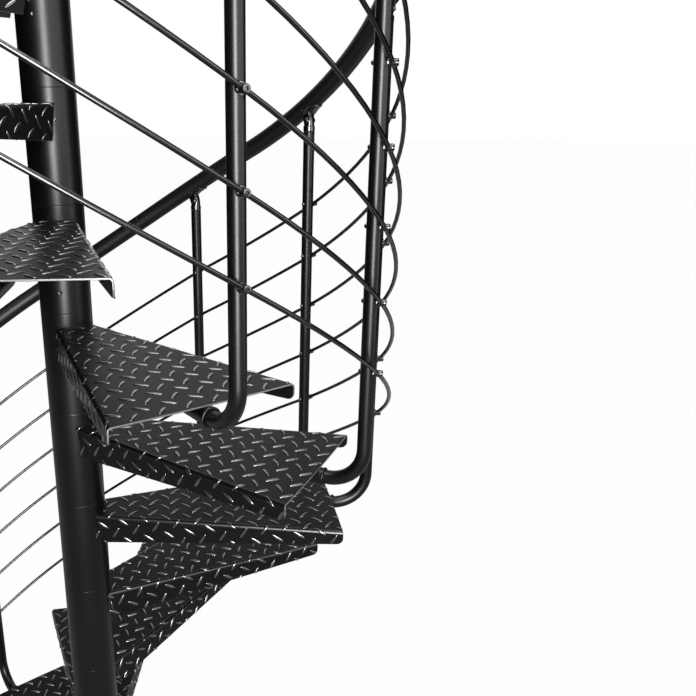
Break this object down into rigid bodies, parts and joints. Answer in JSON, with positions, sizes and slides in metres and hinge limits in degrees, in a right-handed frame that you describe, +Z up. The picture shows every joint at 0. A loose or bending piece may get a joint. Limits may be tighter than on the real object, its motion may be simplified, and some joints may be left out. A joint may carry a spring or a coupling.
{
  "type": "spiral staircase",
  "caption": "Steel spiral staircase, clockwise going up: folded chequer-plate treads on a round column, curved rod guard, tube handrail and square landing.",
  "frame": {"origin": "centre of the base plate's underside, on the column's axis", "axes": "+Z up along the column; the landing's bolted edges face -X and +Y"},
  "size_m": [1.3538, 1.3544, 3.9348],
  "materials": {
    "powder_coated_steel": "black powder coat, semi-gloss",
    "powder_coated_tube": "black powder coat, gloss",
    "rail_tube": "black powder coat, satin",
    "guard_rod": "black powder coat, gloss",
    "clamp_metal": "black coated zinc casting, gloss"
  },
  "bodies": {
    "root": {"baluster_01": "powder_coated_tube", "baluster_02": "powder_coated_tube", "baluster_03": "powder_coated_tube", "baluster_04": "powder_coated_tube", "baluster_05": "powder_coated_tube", "baluster_06": "powder_coated_tube", "baluster_07": "powder_coated_tube", "baluster_08": "powder_coated_tube", "baluster_09": "powder_coated_tube", "baluster_10": "powder_coated_tube", "baluster_11": "powder_coated_tube", "baluster_12": "powder_coated_tube", "base_plate": "powder_coated_steel", "center_post": "powder_coated_steel", "guard_rod_1": "guard_rod", "guard_rod_2": "guard_rod", "guard_rod_3": "guard_rod", "guard_rod_4": "guard_rod", "guard_rod_5": "guard_rod", "guard_rod_6": "guard_rod", "handrail_1": "rail_tube", "handrail_2": "rail_tube", "handrail_3": "rail_tube", "handrail_4": "rail_tube", "handrail_brackets": "clamp_metal", "landing_balusters": "powder_coated_tube", "landing_brackets": "clamp_metal", "landing_clamps": "clamp_metal", "landing_handrail": "rail_tube", "landing_platform": "powder_coated_steel", "landing_rods": "guard_rod", "post_cap": "powder_coated_steel", "rod_clamps": "clamp_metal", "top_sleeve": "powder_coated_steel", "tread_01": "powder_coated_steel", "tread_02": "powder_coated_steel", "tread_03": "powder_coated_steel", "tread_04": "powder_coated_steel", "tread_05": "powder_coated_steel", "tread_06": "powder_coated_steel", "tread_07": "powder_coated_steel", "tread_08": "powder_coated_steel", "tread_09": "powder_coated_steel", "tread_10": "powder_coated_steel", "tread_11": "powder_coated_steel", "tread_12": "powder_coated_steel"}
  },
  "joints": []
}
